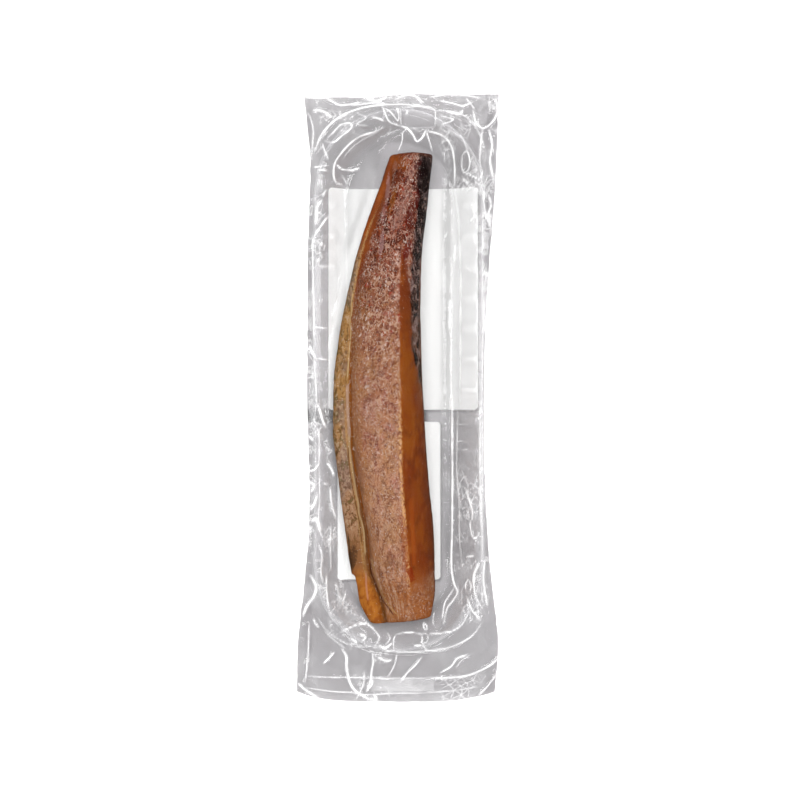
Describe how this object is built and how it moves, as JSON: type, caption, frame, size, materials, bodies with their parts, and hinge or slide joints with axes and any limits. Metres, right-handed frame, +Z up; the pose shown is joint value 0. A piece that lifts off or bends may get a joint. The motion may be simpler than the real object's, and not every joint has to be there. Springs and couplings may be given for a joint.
{
  "type": "vacuum pack of smoked fish fillet",
  "caption": "Long smoked fish fillet in a ribbed clear tray with round ends, sealed in a clear vacuum pouch with blank labels underneath.",
  "frame": {"origin": "on the surface the pack lies on, under the middle of the pouch", "axes": "+Z up, away from the labels; +Y along the pouch towards the narrow end of the fillet; +X to the right seen from above"},
  "size_m": [0.1, 0.3, 0.0287],
  "materials": {
    "film": "clear glossy vacuum film, faintly grey, with sharp creases",
    "tray": "clear moulded tray under the film",
    "flesh": "moist smoked fish flesh, pinkish brown, with an orange brown flank and a dark strip of skin",
    "label": "plain white label paper, blank"
  },
  "bodies": {
    "root": {"pouch": "film", "fillet": "flesh", "label_large": "label", "label_small": "label"}
  },
  "joints": []
}
